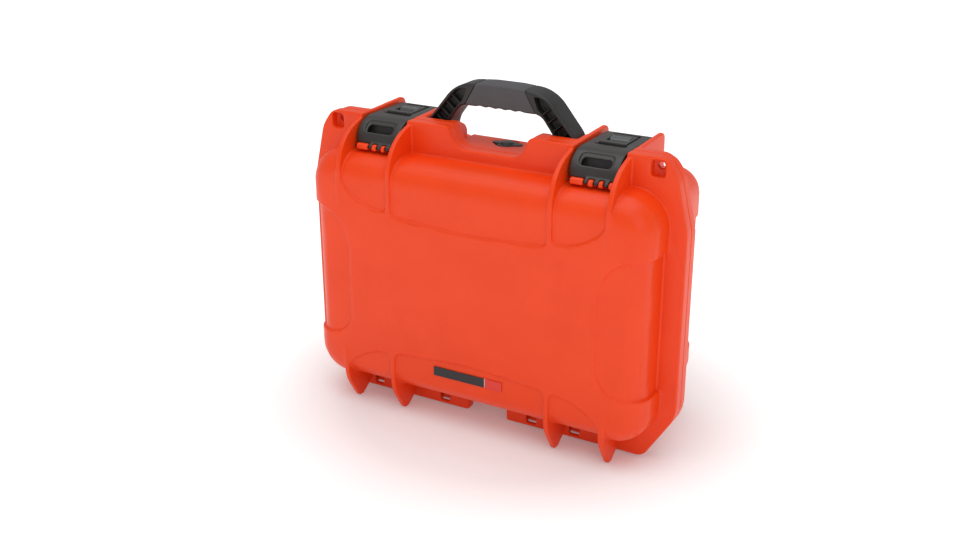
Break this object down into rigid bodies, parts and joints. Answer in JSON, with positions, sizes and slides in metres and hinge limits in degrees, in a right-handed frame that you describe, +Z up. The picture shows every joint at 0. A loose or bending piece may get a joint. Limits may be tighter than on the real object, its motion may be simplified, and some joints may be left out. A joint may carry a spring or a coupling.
{
  "type": "hard equipment case",
  "caption": "Ribbed hard plastic case with a hinged lid, over-centre latches with slide locks, a folding handle and a pressure valve.",
  "frame": {"origin": "bottom centre of the bounding box, on the floor that the rib tips stand on", "axes": "+X to the right along the hinge, +Y back from the lid to the base, +Z up to the handle"},
  "size_m": [0.4, 0.1738, 0.3365],
  "materials": {
    "shell_orange": "satin moulded",
    "latch_black": "satin moulded",
    "handle_black": "fine moulded texture",
    "grip_grey": "soft matt",
    "insert_grey": "glossy",
    "seal_rubber": "matt",
    "pin_steel": "brushed",
    "pin_dark": "blackened",
    "valve_black": "satin moulded",
    "membrane_white": "felt",
    "badge_light": "glossy",
    "badge_dark": "glossy",
    "badge_red": "glossy"
  },
  "bodies": {
    "base": {"base_shell": "shell_orange", "left_hinge_pin": "pin_steel", "right_hinge_pin": "pin_steel", "left_handle_pin": "pin_steel", "right_handle_pin": "pin_steel", "valve_body": "valve_black", "valve_cap": "valve_black", "valve_nut": "valve_black", "valve_seal": "seal_rubber", "valve_membrane": "membrane_white"},
    "lid": {"lid_shell": "shell_orange", "lid_gasket": "seal_rubber", "left_latch_pin": "pin_dark", "right_latch_pin": "pin_dark", "badge_backing": "badge_light", "badge_face": "badge_dark", "badge_accent": "badge_red"},
    "handle": {"handle_frame": "handle_black", "handle_grip": "grip_grey"},
    "left_latch": {"left_latch_lever": "latch_black"},
    "right_latch": {"right_latch_lever": "latch_black"},
    "left_slide": {"left_slide_lock": "latch_black", "left_slide_insert": "insert_grey"},
    "right_slide": {"right_slide_lock": "latch_black", "right_slide_insert": "insert_grey"}
  },
  "joints": [
    {"name": "lid_hinge", "type": "hinge", "parent": "base", "child": "lid", "pos_m": [0, -0.0346, 0.01], "axis": [1, 0, 0], "range_deg": [0, 110]},
    {"name": "handle_fold", "type": "hinge", "parent": "base", "child": "handle", "pos_m": [0, -0.0096, 0.285], "axis": [-1, 0, 0], "range_deg": [0, 90]},
    {"name": "left_latch_pivot", "type": "hinge", "parent": "lid", "child": "left_latch", "pos_m": [-0.1145, -0.063, 0.2712], "axis": [1, 0, 0], "range_deg": [0, 100]},
    {"name": "left_slide_travel", "type": "slide", "parent": "left_latch", "child": "left_slide", "axis": [0, 1, 0], "range_m": [0, 0.006]},
    {"name": "right_latch_pivot", "type": "hinge", "parent": "lid", "child": "right_latch", "pos_m": [0.1145, -0.063, 0.2712], "axis": [1, 0, 0], "range_deg": [0, 100]},
    {"name": "right_slide_travel", "type": "slide", "parent": "right_latch", "child": "right_slide", "axis": [0, 1, 0], "range_m": [0, 0.006]}
  ]
}
